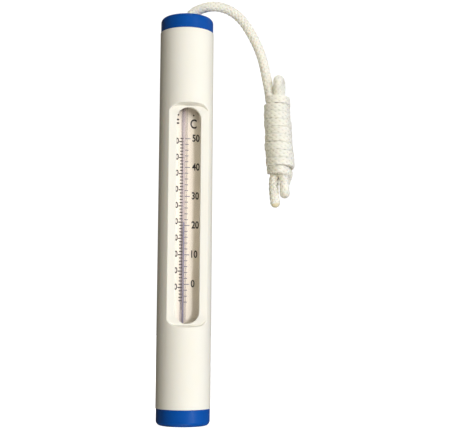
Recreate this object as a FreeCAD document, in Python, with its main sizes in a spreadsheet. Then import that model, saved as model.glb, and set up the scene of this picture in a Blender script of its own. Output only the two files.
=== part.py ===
import FreeCAD, Part
import math
import os
import re

import Sketcher

Vector = FreeCAD.Vector
Rotation = FreeCAD.Rotation
Placement = FreeCAD.Placement

# A floating pool thermometer that stands upright on its bottom cap.
# Millimetres; +Z runs up the tube, the window faces -Y and the cord leaves towards +X.
# The origin is the centre of the bottom cap's flat face.

SIZES = {
    # sealed float tube
    "tube_diameter": 27.0,
    "tube_bore": 23.0,
    "tube_length": 187.4,
    # end caps: a rounded head outside the tube and a spigot inside it
    "cap_diameter": 26.5,
    "cap_round": 2.3,
    "cap_rim_round": 0.5,
    "bottom_cap_height": 8.2,
    "top_cap_height": 7.7,
    "spigot_diameter": 22.9,
    "spigot_length": 9.0,
    "cap_wall": 3.0,
    # O-rings under the bottom cap's spigot and the bulkhead
    "ring_section": 1.4,
    "groove_width": 1.8,
    # window: a flat recess with steep ends round an opening with round ends
    "window_face": 9.2,
    "bezel_thickness": 1.2,
    "opening_width": 12.0,
    "opening_low": 49.1,
    "opening_high": 156.1,
    "recess_width": 20.6,
    "recess_margin": 0.55,
    "recess_corner": 5.2,
    "recess_draft": 15.0,
    "boss_margin": 4.0,
    "rim_round": 0.4,
    # clear lens bonded behind the bezel
    "gasket_thickness": 0.5,
    "gasket_overlap": 0.4,
    "lens_width": 15.6,
    "lens_margin": 2.4,
    "lens_thickness": 1.2,
    "lens_corner": 4.0,
    # printed scale plate, deep in the tube
    "plate_width": 17.0,
    "plate_thickness": 1.0,
    "plate_face": 3.4,
    "plate_low": 26.0,
    "plate_high": 170.0,
    "notch_width": 9.0,
    "notch_high": 43.0,
    # glass capillary, to the left of the middle by the print's offset
    "stem_offset": 0.4,
    "stem_diameter": 3.0,
    "stem_gap": 0.05,
    "stem_high": 168.5,
    "stem_bore": 1.0,
    "bore_high": 165.0,
    "bulb_diameter": 5.0,
    "bulb_wall": 0.5,
    "bulb_low": 26.0,
    "bulb_high": 38.5,
    "bulb_shoulder": 2.0,
    # spirit column: 0 and 50 degrees C on the scale, and the reading shown
    "zero_height": 68.7,
    "degree_height": 1.476,
    "reading": 21.0,
    "spirit_diameter": 0.9,
    "meniscus_height": 1.2,
    # holders, clips and the bulb's rubber boot
    "holder_diameter": 22.8,
    "holder_low": 22.0,
    "holder_height": 8.0,
    "holder_slot_depth": 4.0,
    "upper_holder_low": 166.0,
    "upper_holder_height": 6.0,
    "slot_clearance": 0.1,
    "boot_diameter": 8.4,
    "boot_height": 8.0,
    "clip_height": 3.0,
    "clip_wall": 0.8,
    "clip_width": 8.0,
    "lower_clip_low": 44.5,
    "upper_clip_low": 160.5,
    # ballast in the bottom cap
    "ballast_diameter": 18.0,
    "ballast_height": 16.0,
    "ballast_chamfer": 0.8,
    "ballast_clearance": 0.4,
    "pad_height": 3.0,
    # bulkhead under the knot chamber
    "bulkhead_low": 175.0,
    "bulkhead_height": 8.0,
    "bulkhead_web": 3.0,
    "bulkhead_recess": 16.0,
    # cord, its hole, washer and knot
    "cord_diameter": 4.8,
    "cord_hole": 5.4,
    "cord_lip": 1.8,
    "chamber_diameter": 17.0,
    "washer_diameter": 12.0,
    "washer_hole": 5.2,
    "washer_thickness": 1.4,
    "knot_width": 13.0,
    "knot_height": 9.4,
    "knot_top": 198.3,
    "knot_tail": 3.0,
    "cord_azimuth": 11.04,
    # wound hank, in its own frame: a leaning oval barrel with a finger above and two below
    "hank_reach": 46.75,
    "hank_height": 144.3,
    "hank_lean": 3.1,
    "barrel_width": 14.0,
    "barrel_depth": 17.8,
    "barrel_length": 41.0,
    "barrel_round": 3.0,
    "finger_width": 5.6,
    "finger_depth": 10.4,
    "finger_round": 2.2,
    "finger_root": 17.0,
    "top_finger_shift": 1.6,
    "top_finger_tip": 30.7,
    "low_finger_shift": 1.3,
    "low_finger_tip": 32.8,
    "free_end_shift": 3.8,
    "free_end_front": 2.2,
    "free_end_tip": 37.5,
}

# The cord from the knot to the hank: reach from the tube's axis and height.
CORD_ROUTE = [
    (0.0, 198.3),
    (0.0, 205.7),
    (8.5, 210.0),
    (15.0, 210.7),
    (21.3, 208.9),
    (27.2, 204.6),
    (32.0, 197.6),
    (36.0, 189.9),
    (38.7, 182.2),
    (40.3, 174.8),
    (41.5, 168.4),
    (42.2, 164.2),
]
ARC_SHARE = 0.45  # of the shorter run, on each side of a corner

doc = FreeCAD.newDocument("pool_thermometer")
sheet = doc.addObject("Spreadsheet::Sheet", "Sizes")


def fill_sheet():
    for row, (alias, value) in enumerate(SIZES.items(), start=1):
        sheet.set("A%d" % row, alias)
        sheet.set("B%d" % row, str(value))
        sheet.setAlias("B%d" % row, alias)
    doc.recompute()


def formula(text):
    """Point each alias in the text at its cell."""
    return re.sub(r"[a-z_]+", lambda word: "Sizes." + word[0] if word[0] in SIZES else word[0], text)


def bind(thing, **formulas):
    for path, text in formulas.items():
        thing.setExpression(path.replace("__", "."), formula(text))


def place(thing, x="0", y="0", z="0"):
    bind(thing, Placement__Base__x=x, Placement__Base__y=y, Placement__Base__z=z)


# ---- sketches -------------------------------------------------------------------------------


def new_body(label):
    return doc.addObject("PartDesign::Body", label)


def sketch_on(body, name, role="XY_Plane", offset="0"):
    """Sketch on one of the body's own planes, moved along the plane's normal."""
    sketch = body.newObject("Sketcher::SketchObject", name)
    plane = next(item for item in body.Origin.OriginFeatures if item.Role == role)
    sketch.AttachmentSupport = (plane, [""])
    sketch.MapMode = "FlatFace"
    bind(sketch, AttachmentOffset__Base__z=offset)
    return sketch


def fix_point(sketch, curve, point, x, y):
    """Tie a point to the sketch's origin by two bound distances; "0" puts it on an axis."""
    for kind, axis, text in (("DistanceX", -2, x), ("DistanceY", -1, y)):
        if text == "0":
            sketch.addConstraint(Sketcher.Constraint("PointOnObject", curve, point, axis))
            continue
        number = sketch.addConstraint(Sketcher.Constraint(kind, -1, 1, curve, point, 1.0))
        sketch.setExpression("Constraints[%d]" % number, formula(text))


def fix_radius(sketch, curve, text):
    number = sketch.addConstraint(Sketcher.Constraint("Radius", curve, sketch.Geometry[curve].Radius))
    sketch.setExpression("Constraints[%d]" % number, formula(text))


def draw_circle(sketch, diameter, x="0", y="0"):
    curve = sketch.addGeometry(Part.Circle(Vector(0, 0, 0), Vector(0, 0, 1), 5.0))
    fix_radius(sketch, curve, "(%s) / 2" % diameter)
    fix_point(sketch, curve, 3, x, y)


def draw_polygon(sketch, corners):
    """Closed outline of straight sides through bound corners."""
    turn = 2 * math.pi / len(corners)
    ring = [Vector(50 + 40 * math.cos(i * turn), 50 + 40 * math.sin(i * turn), 0) for i in range(len(corners))]
    sides = [sketch.addGeometry(Part.LineSegment(a, b)) for a, b in zip(ring, ring[1:] + ring[:1])]
    for side, following in zip(sides, sides[1:] + sides[:1]):
        sketch.addConstraint(Sketcher.Constraint("Coincident", side, 2, following, 1))
    for side, (x, y) in zip(sides, corners):
        fix_point(sketch, side, 1, x, y)


def draw_rectangle(sketch, left, right, low, high):
    draw_polygon(sketch, [(left, low), (right, low), (right, high), (left, high)])


def draw_rounded(sketch, centres, radius):
    """Outline of equal arcs round the bound centres, counter-clockwise, joined by tangent sides."""
    count = len(centres)
    turn = 2 * math.pi / count
    arcs = []
    sides = []
    for i in range(count):
        middle = i * turn
        centre = Vector(40 * math.cos(middle), 40 * math.sin(middle), 0)
        circle = Part.Circle(centre, Vector(0, 0, 1), 5.0)
        arcs.append(sketch.addGeometry(Part.ArcOfCircle(circle, middle - turn / 2, middle + turn / 2)))
    for i in range(count):
        start = sketch.getPoint(arcs[i], 2)
        end = sketch.getPoint(arcs[(i + 1) % count], 1)
        sides.append(sketch.addGeometry(Part.LineSegment(start, end)))
    for i in range(count):
        sketch.addConstraint(Sketcher.Constraint("Tangent", arcs[i], 2, sides[i], 1))
        sketch.addConstraint(Sketcher.Constraint("Tangent", sides[i], 2, arcs[(i + 1) % count], 1))
    for arc, (x, y) in zip(arcs, centres):
        fix_radius(sketch, arc, radius)
        fix_point(sketch, arc, 3, x, y)


def rounded_rectangle(sketch, width, low, high, radius):
    side = "((%s) / 2 - (%s))" % (width, radius)
    bottom = "(%s) + (%s)" % (low, radius)
    top = "(%s) - (%s)" % (high, radius)
    centres = [(side, top), ("-" + side, top), ("-" + side, bottom), (side, bottom)]
    draw_rounded(sketch, centres, radius)


def obround(sketch, width, low, high):
    radius = "(%s) / 2" % width
    draw_rounded(sketch, [("0", "(%s) - %s" % (high, radius)), ("0", "(%s) + %s" % (low, radius))], radius)


# ---- solid features --------------------------------------------------------------------------


def pad(body, sketch, length, reverse=False):
    feature = body.newObject("PartDesign::Pad", sketch.Name + "_pad")
    feature.Profile = sketch
    feature.Reversed = reverse
    bind(feature, Length=length)
    return feature


def pocket(body, sketch, length, reverse=False, taper=None):
    """Cut and check that the cut removed something."""
    doc.recompute()
    before = body.Shape.Volume
    feature = body.newObject("PartDesign::Pocket", sketch.Name + "_cut")
    feature.Profile = sketch
    feature.Reversed = reverse
    bind(feature, Length=length)
    if taper:
        bind(feature, TaperAngle=taper)
    doc.recompute()
    if body.Shape.Volume > before - 1e-3:
        raise RuntimeError(feature.Name + " cuts nothing")
    return feature


def turned(label, corners):
    """Body turned about its Z axis from (radius, height) corners."""
    body = new_body(label)
    sketch = sketch_on(body, label + "_profile", "XZ_Plane")
    draw_polygon(sketch, corners)
    feature = body.newObject("PartDesign::Revolution", label + "_turn")
    feature.Profile = sketch
    feature.ReferenceAxis = (sketch, ["V_Axis"])
    feature.Angle = 360
    return body


def round_edges(body, name, radius, chosen):
    doc.recompute()
    base = body.Tip
    edges = ["Edge%d" % number for number, edge in enumerate(base.Shape.Edges, start=1) if chosen(edge)]
    if not edges:
        raise RuntimeError(name + " finds no edge")
    feature = body.newObject("PartDesign::Fillet", name)
    feature.Base = (base, edges)
    bind(feature, Radius=radius)


def ring_at(diameter, height):
    """Test for the full circle of that diameter at that height."""

    def chosen(edge):
        curve = edge.Curve
        if not isinstance(curve, Part.Circle):
            return False
        return abs(curve.Radius - diameter / 2) < 1e-3 and abs(curve.Center.z - height) < 1e-3

    return chosen


def flat_edge_at(height):
    def chosen(edge):
        box = edge.BoundBox
        return abs(box.ZMin - height) < 1e-3 and abs(box.ZMax - height) < 1e-3

    return chosen


# ---- float tube, window and caps -------------------------------------------------------------


def on_recess_rim(edge):
    """Test for the recess's edges on the tube's outer face."""
    radius = SIZES["tube_diameter"] / 2
    points = edge.discretize(5)
    on_face = all(abs(math.hypot(point.x, point.y) - radius) < 1e-3 for point in points)
    return on_face and max(point.y for point in points) < 1 - SIZES["window_face"]


def on_opening_rim(edge):
    """Test for the opening's edges on the recess floor."""
    box = edge.BoundBox
    on_floor = abs(box.YMin + SIZES["window_face"]) < 1e-3 and abs(box.YMax + SIZES["window_face"]) < 1e-3
    inside = box.ZMin > SIZES["opening_low"] - 0.1 and box.ZMax < SIZES["opening_high"] + 0.1
    return on_floor and inside and box.XMax < SIZES["opening_width"] / 2 + 0.1


def on_window_rim(edge):
    return on_recess_rim(edge) or on_opening_rim(edge)


BOSS_LOW = "opening_low - boss_margin"
BOSS_HIGH = "opening_high + boss_margin"
OVERALL = "(bottom_cap_height + tube_length + top_cap_height)"


def housing_tube():
    body = new_body("housing_tube")
    wall = sketch_on(body, "tube_section", offset="bottom_cap_height")
    draw_circle(wall, "tube_diameter")
    pad(body, wall, "tube_length")
    bore = sketch_on(body, "tube_bore_section", offset="bottom_cap_height + tube_length")
    draw_circle(bore, "tube_bore")
    pocket(body, bore, "tube_length")

    boss = sketch_on(body, "window_boss", offset=BOSS_LOW)
    half = "sqrt(((tube_bore + 1) / 2) ^ 2 - (window_face - bezel_thickness) ^ 2)"
    back = "bezel_thickness - window_face"
    depth = "-(tube_bore + 1) / 2 * 0.82"
    front = "-(tube_bore + 1) / 2"
    draw_polygon(
        boss,
        [
            ("-" + half, back),
            ("-(tube_bore + 1) / 2 * 0.57", depth),
            ("-(tube_bore + 1) / 2 * 0.25", front),
            ("(tube_bore + 1) / 2 * 0.25", front),
            ("(tube_bore + 1) / 2 * 0.57", depth),
            (half, back),
        ],
    )
    pad(body, boss, "(%s) - (%s)" % (BOSS_HIGH, BOSS_LOW))

    recess = sketch_on(body, "window_recess", "XZ_Plane", "window_face")
    low = "opening_low - recess_margin"
    high = "opening_high + recess_margin"
    rounded_rectangle(recess, "recess_width", low, high, "recess_corner")
    pocket(body, recess, "tube_diameter / 2", reverse=True, taper="recess_draft")

    opening = sketch_on(body, "window_opening", "XZ_Plane", "window_face + 1")
    obround(opening, "opening_width", "opening_low", "opening_high")
    pocket(body, opening, "bezel_thickness + 2")
    round_edges(body, "window_rims_round", "rim_round", on_window_rim)
    return body


def bottom_cap():
    groove_low = "bottom_cap_height + spigot_length / 2 - groove_width / 2"
    groove_high = "bottom_cap_height + spigot_length / 2 + groove_width / 2"
    groove_floor = "tube_bore / 2 - ring_section"
    spigot_top = "bottom_cap_height + spigot_length"
    pot = "(ballast_diameter + ballast_clearance) / 2"
    body = turned(
        "bottom_cap",
        [
            ("0", "0"),
            ("cap_diameter / 2", "0"),
            ("cap_diameter / 2", "bottom_cap_height"),
            ("spigot_diameter / 2", "bottom_cap_height"),
            ("spigot_diameter / 2", groove_low),
            (groove_floor, groove_low),
            (groove_floor, groove_high),
            ("spigot_diameter / 2", groove_high),
            ("spigot_diameter / 2", spigot_top),
            (pot, spigot_top),
            (pot, "cap_wall"),
            ("0", "cap_wall"),
        ],
    )
    cap = SIZES["cap_diameter"]
    round_edges(body, "bottom_cap_round", "cap_round", ring_at(cap, 0.0))
    round_edges(body, "bottom_cap_rim", "cap_rim_round", ring_at(cap, SIZES["bottom_cap_height"]))
    return body


def top_cap():
    rim = "bottom_cap_height + tube_length"
    spigot_low = rim + " - spigot_length"
    roof = OVERALL + " - cap_wall"
    body = turned(
        "top_cap",
        [
            ("cord_hole / 2", roof),
            ("chamber_diameter / 2", roof),
            ("chamber_diameter / 2", spigot_low),
            ("spigot_diameter / 2", spigot_low),
            ("spigot_diameter / 2", rim),
            ("cap_diameter / 2", rim),
            ("cap_diameter / 2", OVERALL),
            ("cord_hole / 2", OVERALL),
        ],
    )
    rim_height = SIZES["bottom_cap_height"] + SIZES["tube_length"]
    overall = rim_height + SIZES["top_cap_height"]
    round_edges(body, "top_cap_round", "cap_round", ring_at(SIZES["cap_diameter"], overall))
    round_edges(body, "top_cap_rim", "cap_rim_round", ring_at(SIZES["cap_diameter"], rim_height))
    round_edges(body, "cord_hole_lip", "cord_lip", ring_at(SIZES["cord_hole"], overall))
    return body


def top_bulkhead():
    middle = "bulkhead_low + bulkhead_height / 2"
    groove_low = middle + " - groove_width / 2"
    groove_high = middle + " + groove_width / 2"
    groove_floor = "tube_bore / 2 - ring_section"
    top = "bulkhead_low + bulkhead_height"
    web = top + " - bulkhead_web"
    return turned(
        "top_bulkhead",
        [
            ("0", web),
            ("bulkhead_recess / 2", web),
            ("bulkhead_recess / 2", "bulkhead_low"),
            ("spigot_diameter / 2", "bulkhead_low"),
            ("spigot_diameter / 2", groove_low),
            (groove_floor, groove_low),
            (groove_floor, groove_high),
            ("spigot_diameter / 2", groove_high),
            ("spigot_diameter / 2", top),
            ("0", top),
        ],
    )


def o_ring(label, height):
    ring = doc.addObject("Part::Torus", label)
    bind(ring, Radius1="(tube_bore - ring_section) / 2", Radius2="ring_section / 2")
    place(ring, z=height)
    return ring


# ---- window lens and gasket ------------------------------------------------------------------


def window_sheet(label, back, thickness, hollow):
    """Flat sheet behind the bezel; the gasket has the opening cut out of it."""
    body = new_body(label)
    outline = sketch_on(body, label + "_outline", "XZ_Plane", back)
    low = "opening_low - lens_margin"
    high = "opening_high + lens_margin"
    rounded_rectangle(outline, "lens_width", low, high, "lens_corner")
    pad(body, outline, thickness)
    if hollow:
        hole = sketch_on(body, label + "_hole", "XZ_Plane", "(%s) + (%s)" % (back, thickness))
        grown = "gasket_overlap"
        width = "opening_width + 2 * " + grown
        obround(hole, width, "opening_low - " + grown, "opening_high + " + grown)
        pocket(body, hole, thickness)
    return body


def lens_gasket():
    back = "window_face - bezel_thickness - gasket_thickness"
    return window_sheet("lens_gasket", back, "gasket_thickness", hollow=True)


def window_lens():
    back = "window_face - bezel_thickness - gasket_thickness - lens_thickness"
    return window_sheet("window_lens", back, "lens_thickness", hollow=False)


# ---- scale plate and its holders -------------------------------------------------------------

STEM_X = "-stem_offset"
STEM_Y = "plate_face - stem_diameter / 2 - stem_gap"


def scale_plate():
    body = new_body("scale_plate")
    outline = sketch_on(body, "plate_outline", "XZ_Plane", "-plate_face - plate_thickness")
    draw_rectangle(outline, "-plate_width / 2", "plate_width / 2", "plate_low", "plate_high")
    pad(body, outline, "plate_thickness")
    notch = sketch_on(body, "bulb_notch", "XZ_Plane", "-plate_face")
    left = "-stem_offset - notch_width / 2"
    right = "notch_width / 2 - stem_offset"
    draw_rectangle(notch, left, right, "plate_low - 1", "notch_high")
    pocket(body, notch, "plate_thickness")
    return body


def plate_slot(body, name, top, depth, reverse=False):
    """Slot in a holder for one end of the plate."""
    slot = sketch_on(body, name, offset=top)
    side = "plate_width / 2 + slot_clearance"
    front = "plate_face - slot_clearance"
    back = "plate_face + plate_thickness + slot_clearance"
    draw_rectangle(slot, "-(%s)" % side, side, front, back)
    pocket(body, slot, depth, reverse)


def lower_scale_holder():
    body = new_body("lower_scale_holder")
    disc = sketch_on(body, "lower_holder_disc", offset="holder_low")
    draw_circle(disc, "holder_diameter")
    pad(body, disc, "holder_height")
    top = "holder_low + holder_height"
    plate_slot(body, "lower_holder_slot", top, "holder_slot_depth")
    well = sketch_on(body, "boot_well", offset=top)
    draw_circle(well, "boot_diameter", STEM_X, STEM_Y)
    pocket(body, well, "holder_height - 2")
    return body


def upper_scale_holder():
    body = new_body("upper_scale_holder")
    disc = sketch_on(body, "upper_holder_disc", offset="upper_holder_low")
    draw_circle(disc, "holder_diameter")
    pad(body, disc, "upper_holder_height")
    plate_slot(body, "upper_holder_slot", "upper_holder_low", "holder_slot_depth", reverse=True)
    well = sketch_on(body, "stem_well", offset="upper_holder_low")
    draw_circle(well, "stem_diameter + 2 * slot_clearance", STEM_X, STEM_Y)
    pocket(body, well, "stem_high - upper_holder_low", reverse=True)
    return body


def stem_clip(label, low):
    """Saddle that holds the stem against the plate's face."""
    body = new_body(label)
    foot = sketch_on(body, label + "_foot", offset=low)
    left = "-stem_offset - clip_width / 2"
    right = "clip_width / 2 - stem_offset"
    draw_rectangle(foot, left, right, "plate_face - clip_wall", "plate_face")
    pad(body, foot, "clip_height")
    saddle = sketch_on(body, label + "_saddle", offset=low)
    draw_circle(saddle, "stem_diameter + 2 * clip_wall", STEM_X, STEM_Y)
    pad(body, saddle, "clip_height")
    top = low + " + clip_height"
    back = sketch_on(body, label + "_back", offset=top)
    draw_rectangle(back, left, right, "plate_face", "plate_face + clip_width / 2")
    pocket(body, back, "clip_height")
    hole = sketch_on(body, label + "_hole", offset=top)
    draw_circle(hole, "stem_diameter + stem_gap", STEM_X, STEM_Y)
    pocket(body, hole, "clip_height")
    return body


# ---- glass capillary and spirit --------------------------------------------------------------


def capillary_tube():
    outer = "bulb_diameter / 2"
    inner = "bulb_diameter / 2 - bulb_wall"
    neck = "bulb_high + bulb_shoulder"
    body = turned(
        "capillary_tube",
        [
            ("0", "0"),
            (outer + " - 1", "0"),
            (outer, "1"),
            (outer, "bulb_high - bulb_low"),
            ("stem_diameter / 2", neck + " - bulb_low"),
            ("stem_diameter / 2", "stem_high - bulb_low - 1"),
            ("stem_diameter / 4", "stem_high - bulb_low"),
            ("0", "stem_high - bulb_low"),
            ("0", "bore_high - bulb_low"),
            ("stem_bore / 2", "bore_high - bulb_low"),
            ("stem_bore / 2", neck + " - bulb_low"),
            (inner, "bulb_high - bulb_low - bulb_wall"),
            (inner, "bulb_wall + 1"),
            ("0", "bulb_wall + 1"),
        ],
    )
    place(body, STEM_X, STEM_Y, "bulb_low")
    return body


def bulb_spirit():
    inner = "bulb_diameter / 2 - bulb_wall"
    neck = "bulb_high + bulb_shoulder - bulb_low"
    body = turned(
        "bulb_spirit",
        [
            ("0", "bulb_wall + 1"),
            (inner, "bulb_wall + 1"),
            (inner, "bulb_high - bulb_low - bulb_wall"),
            ("spirit_diameter / 2", neck),
            ("0", neck),
        ],
    )
    place(body, STEM_X, STEM_Y, "bulb_low")
    return body


READING_HEIGHT = "zero_height + reading * degree_height"
THREAD_LOW = "bulb_high + bulb_shoulder"


def spirit_thread():
    thread = doc.addObject("Part::Cylinder", "spirit_thread")
    bind(thread, Radius="spirit_diameter / 2")
    bind(thread, Height="%s - meniscus_height - (%s)" % (READING_HEIGHT, THREAD_LOW))
    place(thread, STEM_X, STEM_Y, THREAD_LOW)
    return thread


def spirit_meniscus():
    column = doc.addObject("Part::Cylinder", "meniscus_column")
    bind(column, Radius="spirit_diameter / 2", Height="meniscus_height")
    dish = doc.addObject("Part::Sphere", "meniscus_dish")
    bind(dish, Radius="spirit_diameter / 2")
    place(dish, z="meniscus_height + spirit_diameter / 4")
    meniscus = doc.addObject("Part::Cut", "spirit_meniscus")
    meniscus.Base = column
    meniscus.Tool = dish
    place(meniscus, STEM_X, STEM_Y, READING_HEIGHT + " - meniscus_height")
    return meniscus


def bulb_boot():
    """Rubber cup that cushions the glass bulb in the lower holder."""
    outer = "boot_diameter / 2"
    inner = "bulb_diameter / 2"
    body = turned(
        "bulb_boot",
        [
            ("0", "-2"),
            (outer, "-2"),
            (outer, "boot_height - 2"),
            (inner, "boot_height - 2"),
            (inner, "1"),
            (inner + " - 1", "0"),
            ("0", "0"),
        ],
    )
    place(body, STEM_X, STEM_Y, "holder_low + 4")
    return body


# ---- ballast ---------------------------------------------------------------------------------


def ballast_weight():
    slug = doc.addObject("Part::Cylinder", "ballast_slug")
    bind(slug, Radius="ballast_diameter / 2", Height="ballast_height")
    doc.recompute()
    weight = doc.addObject("Part::Chamfer", "ballast_weight")
    weight.Base = slug
    rings = [number for number, edge in enumerate(slug.Shape.Edges, start=1) if edge.isClosed()]
    bevel = SIZES["ballast_chamfer"]
    weight.Edges = [(number, bevel, bevel) for number in rings if len(slug.Shape.Edges[number - 1].Vertexes) == 1]
    place(weight, z="cap_wall")
    return weight


def ballast_pad():
    foam = doc.addObject("Part::Cylinder", "ballast_pad")
    bind(foam, Radius="ballast_diameter / 2", Height="pad_height")
    place(foam, z="cap_wall + ballast_height")
    return foam


# ---- cord ------------------------------------------------------------------------------------


def cord_point(reach, height):
    turn = math.radians(-SIZES["cord_azimuth"])
    return Vector(reach * math.cos(turn), reach * math.sin(turn), height)


def tube_path(points):
    """Straight runs joined by tangent arcs as large as the runs allow."""
    edges = []
    radii = []
    here = points[0]
    for before, corner, after in zip(points, points[1:], points[2:]):
        back = before - corner
        ahead = after - corner
        half_turn = (math.pi - back.getAngle(ahead)) / 2
        reach = ARC_SHARE * min(back.Length, ahead.Length)
        radius = reach / math.tan(half_turn)
        start = corner + back.normalize() * reach
        end = corner + ahead.normalize() * reach
        inward = (back + ahead).normalize()
        middle = corner + inward * (radius / math.cos(half_turn) - radius)
        edges.append(Part.LineSegment(here, start).toShape())
        edges.append(Part.Arc(start, middle, end).toShape())
        radii.append(radius)
        here = end
    edges.append(Part.LineSegment(here, points[-1]).toShape())
    return Part.Wire(edges), radii


def cord_lead():
    path, radii = tube_path([cord_point(reach, height) for reach, height in CORD_ROUTE])
    radius = sheet.get("cord_diameter") / 2
    section = Part.Wire([Part.Circle(cord_point(*CORD_ROUTE[0]), Vector(0, 0, 1), radius).toShape()])
    tube = path.makePipeShell([section], True, False)
    lead = doc.addObject("Part::Feature", "cord_lead")
    lead.Shape = tube
    expected = math.pi * radius**2 * path.Length
    print("cord lead: length %.1f mm, radii %s" % (path.Length, ", ".join("%.1f" % r for r in radii)))
    print("cord lead: volume %.1f of section times length %.1f" % (tube.Volume, expected))
    return lead


def cord_washer():
    disc = doc.addObject("Part::Cylinder", "washer_disc")
    bind(disc, Radius="washer_diameter / 2", Height="washer_thickness")
    hole = doc.addObject("Part::Cylinder", "washer_bore")
    bind(hole, Radius="washer_hole / 2", Height="washer_thickness")
    washer = doc.addObject("Part::Cut", "cord_washer")
    washer.Base = disc
    washer.Tool = hole
    place(washer, z=OVERALL + " - cap_wall - washer_thickness")
    return washer


def cord_knot():
    knob = doc.addObject("Part::Ellipsoid", "knot_knob")
    bind(knob, Radius1="knot_height / 2", Radius2="knot_width / 2", Radius3="knot_width / 2")
    tail = doc.addObject("Part::Cylinder", "knot_tail_stub")
    bind(tail, Radius="cord_diameter / 2", Height="knot_height + knot_tail")
    place(tail, z="-knot_height / 2 - knot_tail")
    knot = doc.addObject("Part::Fuse", "cord_knot")
    knot.Base = knob
    knot.Tool = tail
    place(knot, z="knot_top - knot_height / 2")
    return knot


def finger(body, name, shift, tip, upward, depth="finger_depth", front="0"):
    """Round-edged stub of a fold or an end of cord, along the hank's own axis."""
    sign = "" if upward else "-"
    sketch = sketch_on(body, name, offset=sign + "finger_root")
    if depth == "finger_width":
        draw_circle(sketch, "finger_width", shift, front)
    else:
        half = "(%s - finger_width) / 2" % depth
        draw_rounded(sketch, [(shift, half), (shift, "-(%s)" % half)], "finger_width / 2")
    pad(body, sketch, "%s - finger_root" % tip, reverse=not upward)
    end = SIZES[tip] if upward else -SIZES[tip]
    round_edges(body, name + "_round", "finger_round", flat_edge_at(end))


def cord_hank():
    body = new_body("cord_hank")
    section = sketch_on(body, "barrel_section", offset="-barrel_length / 2")
    flat = "(barrel_depth - barrel_width) / 2"
    draw_rounded(section, [("0", flat), ("0", "-(%s)" % flat)], "barrel_width / 2")
    pad(body, section, "barrel_length")
    half = SIZES["barrel_length"] / 2
    for name, height in (("barrel_top_round", half), ("barrel_low_round", -half)):
        round_edges(body, name, "barrel_round", flat_edge_at(height))
    finger(body, "top_finger", "top_finger_shift", "top_finger_tip", upward=True)
    finger(body, "low_finger", "low_finger_shift", "low_finger_tip", upward=False)
    finger(body, "free_end", "-free_end_shift", "free_end_tip", False, "finger_width", "-free_end_front")
    upright = Rotation(Vector(0, 0, 1), -SIZES["cord_azimuth"])
    lean = Rotation(Vector(0, 1, 0), -SIZES["hank_lean"])
    body.Placement = Placement(cord_point(SIZES["hank_reach"], SIZES["hank_height"]), upright * lean)
    return body


# ---- build, check and write ------------------------------------------------------------------


def build():
    groove_middle = "bottom_cap_height + spigot_length / 2"
    return [
        housing_tube(),
        lens_gasket(),
        window_lens(),
        bottom_cap(),
        o_ring("bottom_cap_o_ring", groove_middle),
        ballast_weight(),
        ballast_pad(),
        lower_scale_holder(),
        bulb_boot(),
        scale_plate(),
        capillary_tube(),
        bulb_spirit(),
        spirit_thread(),
        spirit_meniscus(),
        stem_clip("lower_stem_clip", "lower_clip_low"),
        stem_clip("upper_stem_clip", "upper_clip_low"),
        upper_scale_holder(),
        top_bulkhead(),
        o_ring("top_bulkhead_o_ring", "bulkhead_low + bulkhead_height / 2"),
        top_cap(),
        cord_washer(),
        cord_knot(),
        cord_lead(),
        cord_hank(),
    ]


def check(parts):
    for item in doc.Objects:
        if "Invalid" in item.State or "Error" in item.State:
            raise RuntimeError("%s failed: %s" % (item.Name, item.State))
    for part in parts:
        if part.Shape.isNull() or not part.Shape.isValid():
            raise RuntimeError(part.Label + " has no valid shape")
        print("%-20s %9.1f mm3, %d solid(s)" % (part.Label, part.Shape.Volume, len(part.Shape.Solids)))


def write(parts):
    os.makedirs("parts", exist_ok=True)
    for part in parts:
        part.Shape.exportStep(os.path.join("parts", part.Label + ".step"))


fill_sheet()
sub_parts = build()
doc.recompute()
check(sub_parts)
write(sub_parts)
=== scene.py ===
"""A floating pool thermometer's looks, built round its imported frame.

Metres; +Z runs up the tube and the window faces -Y.
"""

import itertools
import math

import bpy
import numpy as np
from mathutils import Matrix, Vector


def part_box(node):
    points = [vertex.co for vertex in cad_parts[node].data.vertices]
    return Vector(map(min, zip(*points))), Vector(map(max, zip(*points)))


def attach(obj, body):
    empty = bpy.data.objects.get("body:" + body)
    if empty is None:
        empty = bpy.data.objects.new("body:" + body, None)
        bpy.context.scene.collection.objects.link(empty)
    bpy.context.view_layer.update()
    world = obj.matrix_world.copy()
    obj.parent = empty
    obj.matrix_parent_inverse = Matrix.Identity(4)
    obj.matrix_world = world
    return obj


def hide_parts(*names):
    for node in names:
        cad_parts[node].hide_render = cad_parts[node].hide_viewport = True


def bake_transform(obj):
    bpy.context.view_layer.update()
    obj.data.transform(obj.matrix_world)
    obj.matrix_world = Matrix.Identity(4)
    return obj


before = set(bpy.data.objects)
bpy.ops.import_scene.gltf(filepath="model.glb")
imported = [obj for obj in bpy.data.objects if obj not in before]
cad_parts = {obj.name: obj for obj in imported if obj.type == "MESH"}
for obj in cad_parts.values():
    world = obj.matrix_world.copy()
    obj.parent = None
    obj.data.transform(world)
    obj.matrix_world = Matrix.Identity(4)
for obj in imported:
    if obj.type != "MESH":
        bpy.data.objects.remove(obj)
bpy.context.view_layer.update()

MM = 0.001


def srgb(red, green, blue):
    """Scene colour of a colour given as it looks on a screen, 0 to 255."""
    shares = [channel / 255 for channel in (red, green, blue)]
    linear = [s / 12.92 if s <= 0.04045 else ((s + 0.055) / 1.055) ** 2.4 for s in shares]
    return (*linear, 1.0)


def add_object(name, data):
    thing = bpy.data.objects.new(name, data)
    bpy.context.scene.collection.objects.link(thing)
    return thing


# ---- camera ----------------------------------------------------------------------------------

CAMERA_PLACE = Vector((-73.9, -482.9, 50.4)) * MM
CAMERA_AZIMUTH = math.radians(-11.04)
CAMERA_PITCH = math.radians(6.213)
CAMERA_ROLL = math.radians(0.413)
CAMERA_LENS = 78.6


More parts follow.
